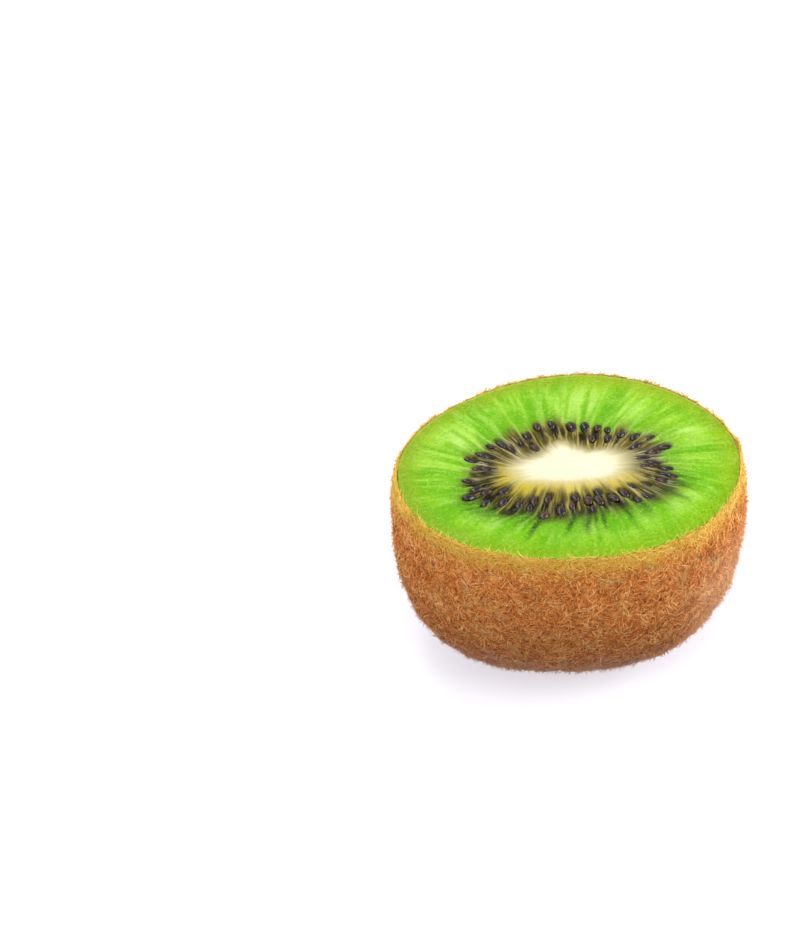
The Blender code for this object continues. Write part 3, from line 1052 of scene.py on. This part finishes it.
def objectPlace(tree):
    return tree.nodes.new("ShaderNodeTexCoord").outputs["Object"]


def scaled(tree, vector, scale):
    mapping = tree.nodes.new("ShaderNodeMapping")
    mapping.inputs["Scale"].default_value = scale
    tree.links.new(vector, mapping.inputs["Vector"])
    return mapping.outputs["Vector"]


def noiseOf(tree, vector, scale, detail, roughness):
    noise = tree.nodes.new("ShaderNodeTexNoise")
    setSockets(noise, {"Scale": scale, "Detail": detail, "Roughness": roughness})
    tree.links.new(vector, noise.inputs["Vector"])
    return noise.outputs["Fac"]


def between(tree, value, low, high):
    # 0 below low, 1 above high
    rise = tree.nodes.new("ShaderNodeMapRange")
    rise.interpolation_type = "SMOOTHSTEP"
    setSockets(rise, {"From Min": low, "From Max": high})
    feed(tree, rise.inputs["Value"], value)
    return rise.outputs["Result"]


def tint(tree, colour, share, amount, tone):
    # a tone over a colour where a share is high
    return mixColour(tree, times(tree, share, amount), colour, tone)


def layered(tree, colour, tone, layers):
    # tones over a colour: what each follows, where it starts and is full, how much, and its name
    for share, low, high, amount, name in layers:
        colour = tint(tree, colour, between(tree, share, low, high), amount, tone[name])
    return colour


def filaments(tree, vector, scale, thin):
    # thin curly lines, like matted hairs: the crest of a noise
    crest = maths(tree, "SUBTRACT", noiseOf(tree, vector, scale, 1.5, 0.5), 0.5)
    return between(tree, maths(tree, "ABSOLUTE", crest), thin, 0.0)


def bumpOf(tree, height, strength, distance, normal=None):
    bump = tree.nodes.new("ShaderNodeBump")
    setSockets(bump, {"Strength": strength, "Distance": distance})
    tree.links.new(height, bump.inputs["Height"])
    if normal is not None:
        tree.links.new(normal, bump.inputs["Normal"])
    return bump.outputs["Normal"]


fleshLook = dict(
    tones=dict(
        green=(140, 194, 18),
        paleGreen=(172, 214, 78),
        deepGreen=(98, 170, 0),
        rimGreen=(136, 166, 14),
        rimEdge=(188, 192, 88),
        core=(232, 226, 200),
        coreEdge=(214, 204, 160),
        # painted sheen, a highlight on the wet flesh
        paintedSheen=(196, 228, 132),
        gelYellow=(194, 174, 52),
        gelOlive=(108, 94, 26),
        gelDark=(24, 12, 4),
        finger=(46, 88, 0),
        fibre=(196, 182, 104),
        fibreCool=(192, 188, 160),
        fibreGreen=(180, 224, 96),
    ),
    sockets={
        "Roughness": 0.34,
        "Specular IOR Level": 0.07,
        "Subsurface Weight": 0.30,
        "Subsurface Radius": (1.0, 1.0, 0.35),
        "Subsurface Scale": 0.0008,
        "Coat Weight": 0.04,
        "Coat Roughness": 0.16,
    },
)


def fleshMaterial():
    material, tree, shader = newMaterial("kiwiFlesh")
    tone = tonesOf(fleshLook)
    rayPlace = reading(tree, "rayPlace", "Vector")
    parts = tree.nodes.new("ShaderNodeSeparateXYZ")
    tree.links.new(rayPlace, parts.inputs[0])
    farness, station = parts.outputs["Y"], parts.outputs["Z"]
    place = objectPlace(tree)
    gelShare = reading(tree, "gelShare")
    coreShare = reading(tree, "coreShare")
    # streaks along the rays, and grain everywhere
    longStreaks = noiseOf(tree, scaled(tree, rayPlace, (24.0, 24.0, 1.6)), 1.0, 4.0, 0.6)
    threads = noiseOf(tree, scaled(tree, rayPlace, (62.0, 62.0, 2.6)), 1.0, 3.0, 0.6)
    grain = noiseOf(tree, place, 2300.0, 3.0, 0.7)
    clouds = noiseOf(tree, place, 300.0, 4.0, 0.6)
    edge = times(tree, between(tree, station, 2.95, 3.0), between(tree, farness, -0.3, 0.7))
    # painted sheen: pale rays where the wet flesh catches the light
    paintedSheen = times(tree, reading(tree, "paintedSheenShare"), between(tree, clouds, 0.30, 0.62))
    green = layered(tree, tone["deepGreen"], tone, (
        (reading(tree, "rayShare"), 0.20, 0.90, 1.0, "green"),
        (longStreaks, 0.46, 0.72, 0.70, "paleGreen"),
        (clouds, 0.45, 0.70, 0.40, "paleGreen"),
        (station, 2.55, 2.95, 0.80, "rimGreen"),
    ))
    # the deep green of the flesh, and painted shade on the near side
    green = tint(tree, green, reading(tree, "deepGreenAndShade"), 0.80, tone["deepGreen"])
    green = tint(tree, green, edge, 0.65, tone["rimEdge"])
    green = tint(tree, green, paintedSheen, 0.75, tone["paintedSheen"])
    gel = mixColour(tree, reading(tree, "yellowShare"), tone["gelOlive"], tone["gelYellow"])
    colour = mixColour(tree, gelShare, green, gel)
    colour = mixColour(tree, reading(tree, "fingerShare"), colour, tone["finger"])
    colour = mixColour(tree, reading(tree, "darkShare"), colour, tone["gelDark"])
    # the fibres, green outside the ring, and threads in the ring
    fibre = mixColour(tree, reading(tree, "coolShare"), tone["fibre"], tone["fibreCool"])
    fibre = mixColour(tree, between(tree, station, 1.85, 2.20), fibre, tone["fibreGreen"])
    ringThreads = times(tree, gelShare, between(tree, threads, 0.56, 0.74))
    fibreAmount = times(tree, reading(tree, "fibreShare"), 0.80)
    fibreAmount = maths(tree, "MAXIMUM", fibreAmount, times(tree, ringThreads, 0.45))
    colour = mixColour(tree, fibreAmount, colour, fibre)
    core = mixColour(tree, between(tree, coreShare, 0.50, 1.0), tone["coreEdge"], tone["core"])
    colour = mixColour(tree, between(tree, coreShare, 0.0, 0.85), colour, core)
    # grain lightens the green, and darkens everything but the core
    inGreen = maths(tree, "SUBTRACT", 1.0, times(tree, gelShare, 0.85))
    offCore = maths(tree, "SUBTRACT", 1.0, coreShare)
    speck = times(tree, between(tree, grain, 0.52, 0.70), inGreen)
    pit = times(tree, between(tree, grain, 0.48, 0.30), offCore)
    colour = tint(tree, colour, speck, 0.42, tone["fibreGreen"])
    colour = tint(tree, colour, pit, 0.34, tone["finger"])
    tree.links.new(colour, shader.inputs["Base Color"])
    setSockets(shader, fleshLook["sockets"])
    wet = bumpOf(tree, longStreaks, 0.35, 0.00020, bumpOf(tree, grain, 0.5, 0.00016))
    tree.links.new(wet, shader.inputs["Normal"])
    tree.links.new(bumpOf(tree, clouds, 0.3, 0.0003), shader.inputs["Coat Normal"])
    return material


seedLook = dict(
    tones=dict(dark=(20, 8, 5), warm=(84, 34, 26)),
    sockets={
        "Roughness": 0.38,
        "Specular IOR Level": 0.14,
        "Specular Tint": (0.95, 0.74, 0.92, 1.0),
        "Coat Weight": 0.80,
        "Coat Roughness": 0.16,
    },
)


def seedMaterial():
    material, tree, shader = newMaterial("kiwiSeed")
    tone = tonesOf(seedLook)
    mottle = noiseOf(tree, objectPlace(tree), 900.0, 2.0, 0.5)
    warmth = times(tree, between(tree, mottle, 0.40, 0.75), reading(tree, "seedShade"))
    colour = mixColour(tree, warmth, tone["dark"], tone["warm"])
    tree.links.new(colour, shader.inputs["Base Color"])
    setSockets(shader, seedLook["sockets"])
    tree.links.new(bumpOf(tree, mottle, 0.2, 0.0001), shader.inputs["Normal"])
    return material


skinLook = dict(
    tones=dict(
        tan=(190, 126, 58),
        rust=(168, 88, 30),
        olive=(152, 138, 84),
        pore=(92, 48, 16),
        matGold=(232, 160, 78),
        matRust=(206, 106, 36),
        matPale=(236, 184, 112),
        edgeGold=(176, 140, 40),
        edgeGreen=(164, 176, 58),
        # painted shade, darker towards the bottom
        low=(100, 58, 32),
        # painted light on the right side, and painted light bounced up from the floor
        paintedSideLight=(226, 180, 138),
        paintedFloorBounce=(172, 136, 118),
    ),
    sockets={"Roughness": 0.75, "Specular IOR Level": 0.15},
    # matted hairs: how fine, how thin, and their tone
    mats=((1500.0, 0.030, "matGold"), (2100.0, 0.028, "matRust"), (1150.0, 0.022, "matPale")),
    # how much of that painted light the skin and the hairs take
    paintedLightOnSkin=0.46,
    paintedLightOnHair=0.68,
)


def paintedSideAndFloorLight(tree, colour, fromRim, share):
    # painted light: the fuzz is painted paler low on the right, where the light from the right falls, and
    # greyer right above the floor, where painted light bounces up from the floor
    tone = tonesOf(skinLook)
    across = tree.nodes.new("ShaderNodeSeparateXYZ")
    tree.links.new(objectPlace(tree), across.inputs[0])
    side = times(tree, between(tree, across.outputs["X"], 0.011, 0.025), between(tree, fromRim, 4.0, 16.0))
    colour = tint(tree, colour, side, share, tone["paintedSideLight"])
    return layered(tree, colour, tone, ((fromRim, 19.0, 28.0, 0.68, "paintedFloorBounce"),))


def skinMaterial():
    material, tree, shader = newMaterial("kiwiSkin")
    tone = tonesOf(skinLook)
    place = objectPlace(tree)
    patches = noiseOf(tree, place, 240.0, 4.0, 0.65)
    blotches = noiseOf(tree, place, 520.0, 4.0, 0.65)
    pores = noiseOf(tree, place, 1700.0, 2.0, 0.6)
    fromRim = reading(tree, "fromRim")
    colour = mixColour(tree, between(tree, blotches, 0.42, 0.62), tone["tan"], tone["rust"])
    bare = times(tree, reading(tree, "bareShare"), between(tree, patches, 0.34, 0.56))
    colour = tint(tree, colour, bare, 0.88, tone["olive"])
    colour = layered(tree, colour, tone, (
        (fromRim, 5.0, 0.7, 0.75, "edgeGold"),
        (fromRim, 2.8, 0.4, 0.60, "edgeGreen"),
        (pores, 0.50, 0.66, 0.85, "pore"),
    ))
    for scale, thin, name in skinLook["mats"]:
        colour = tint(tree, colour, filaments(tree, place, scale, thin), 0.75, tone[name])
    # painted shade: the skin darker towards the bottom
    colour = layered(tree, colour, tone, ((fromRim, 5.0, 25.0, 0.70, "low"),))
    # painted light: paler low on the right, and greyer just above the floor
    colour = paintedSideAndFloorLight(tree, colour, fromRim, skinLook["paintedLightOnSkin"])
    tree.links.new(colour, shader.inputs["Base Color"])
    setSockets(shader, skinLook["sockets"])
    rough = bumpOf(tree, pores, 0.5, 0.0002)
    tree.links.new(bumpOf(tree, blotches, 0.5, 0.0004, rough), shader.inputs["Normal"])
    return material


hairLook = dict(
    # each kind's dark, middle and light tone
    fuzzRust=((178, 86, 26), (226, 128, 48), (248, 172, 92)),
    fuzzGold=((210, 132, 58), (242, 176, 96), (255, 212, 148)),
    fuzzBrown=((108, 52, 18), (178, 98, 40), (214, 136, 68)),
    fuzzStubble=((110, 56, 22), (172, 92, 36), (214, 130, 64)),
    fuzzTall=((204, 112, 42), (238, 156, 74), (255, 200, 130)),
    rimFuzz=((206, 156, 54), (240, 198, 94), (255, 226, 150)),
    # and those that all of them have: golden near the rim, and painted shade low down
    tones=dict(golden=(252, 218, 86), paintedLowShade=(112, 64, 36)),
    sockets={"Roughness": 0.6, "Specular IOR Level": 0.15},
)


def hairMaterial(name):
    material, tree, shader = newMaterial("kiwi" + name[0].upper() + name[1:])
    tone = tonesOf(hairLook)
    dark, mid, tone["light"] = (fromScreen(*value) for value in hairLook[name])
    shade = reading(tree, "hairShade")
    fromRim = reading(tree, "fromRim")
    colour = mixColour(tree, between(tree, shade, 0.05, 0.55), dark, mid)
    colour = layered(tree, colour, tone, (
        (shade, 0.50, 1.0, 1.0, "light"),
        (fromRim, 6.0, 0.5, 0.60, "golden"),
        # painted shade: the hairs darker towards the bottom
        (fromRim, 5.0, 26.0, 0.56, "paintedLowShade"),
        (reading(tree, "hairAlong"), 0.4, 1.0, 0.30, "light"),
    ))
    # painted light: paler low on the right, and greyer just above the floor
    colour = paintedSideAndFloorLight(tree, colour, fromRim, skinLook["paintedLightOnHair"])
    tree.links.new(colour, shader.inputs["Base Color"])
    setSockets(shader, hairLook["sockets"])
    return material


# Stage: a plain pale floor, studio light and the camera

stage = dict(
    floorSize=3.0,
    floorSockets={
        "Base Color": (0.58, 0.58, 0.62, 1.0),
        "Emission Color": (0.93, 0.93, 1.0, 1.0),
        "Emission Strength": 0.57,
        "Roughness": 0.9,
        "Specular IOR Level": 0.0,
    },
    skySockets={"Color": (1.0, 1.0, 1.0, 1.0), "Strength": 0.62},
    target=(0.0, 0.0, 0.02),
    # each light's place, power in watts and size
    lights=dict(
        key=((0.02, -0.24, 0.62), 1.12, 0.45),
        right=((0.46, -0.02, 0.12), 2.9, 0.45),
        left=((-0.42, -0.30, 0.20), 0.95, 0.45),
        back=((-0.16, 0.44, 0.40), 0.40, 0.30),
        glint=((-0.12, 0.16, 0.46), 0.42, 0.12),
    ),
)

view = dict(
    azimuth=math.radians(-8.6),
    elevation=math.radians(37.2),
    roll=math.radians(-0.8),
    distance=0.55,
    focalPixels=3476.0,
    imageSize=(800, 926),
    facePixel=(569.9, 462.7),  # where the middle of the cut face shows in the picture
)


def addLight(name, place, target, power, size):
    data = bpy.data.lights.new(name, "AREA")
    data.shape = "DISK"
    data.size = size
    data.energy = power
    light = bpy.data.objects.new(name, data)
    light.location = place
    light.rotation_euler = (Vector(target) - Vector(place)).to_track_quat("-Z", "Y").to_euler()
    bpy.context.scene.collection.objects.link(light)


def makeStage():
    bm = bmesh.new()
    bmesh.ops.create_grid(bm, x_segments=2, y_segments=2, size=stage["floorSize"])
    mesh = bpy.data.meshes.new("floor")
    bm.to_mesh(mesh)
    bm.free()
    floor = bpy.data.objects.new("floor", mesh)
    bpy.context.scene.collection.objects.link(floor)
    material, _, shader = newMaterial("paleFloor")
    setSockets(shader, stage["floorSockets"])
    mesh.materials.append(material)
    world = bpy.data.worlds.new("softWhite")
    world.use_nodes = True
    sky = world.node_tree.nodes["Background"]
    setSockets(sky, stage["skySockets"])
    bpy.context.scene.world = world
    for name, (place, power, size) in stage["lights"].items():
        addLight(name, place, stage["target"], power, size)
    bpy.context.scene.view_settings.view_transform = "Standard"
    bpy.context.scene.view_settings.look = "None"


def makeCamera():
    azimuth, elevation, roll = view["azimuth"], view["elevation"], view["roll"]
    back = Vector((math.sin(azimuth) * math.cos(elevation), -math.cos(azimuth) * math.cos(elevation),
                   math.sin(elevation)))
    right = Vector((math.cos(azimuth), math.sin(azimuth), 0.0))
    up = back.cross(right)
    right, up = right * math.cos(roll) + up * math.sin(roll), up * math.cos(roll) - right * math.sin(roll)
    aim = Vector((middle[0], middle[1], fruit["height"]))
    # turn the camera a little, so that the face lands right of the picture's middle
    width, height = view["imageSize"]
    aside = (view["facePixel"][0] - 0.5 * width) / view["focalPixels"]
    above = (0.5 * height - view["facePixel"][1]) / view["focalPixels"]
    ahead = (-back - right * aside - up * above).normalized()
    right = ahead.cross(up).normalized()
    up = right.cross(ahead)
    data = bpy.data.cameras.new("camera")
    data.sensor_width = 36.0
    data.lens = view["focalPixels"] / max(view["imageSize"]) * data.sensor_width
    data.clip_start = 0.01
    camera = bpy.data.objects.new("camera", data)
    camera.matrix_world = Matrix((
        (right.x, up.x, -ahead.x, aim.x + view["distance"] * back.x),
        (right.y, up.y, -ahead.y, aim.y + view["distance"] * back.y),
        (right.z, up.z, -ahead.z, aim.z + view["distance"] * back.z),
        (0.0, 0.0, 0.0, 1.0),
    ))
    bpy.context.scene.collection.objects.link(camera)
    bpy.context.scene.camera = camera


makeStage()
makeCamera()
print("kiwi: stage and camera are set")

fleshPiece = makeFlesh(fleshMaterial())
makeSeeds(seedMaterial())
skinGrid = makeSkin(skinMaterial())
for kindName in fuzz:
    makeFuzz(kindName, skinGrid, hairMaterial(kindName))
makeRimFuzz(skinGrid, hairMaterial("rimFuzz"))
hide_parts(halfNode)
print("kiwi: all pieces are made")
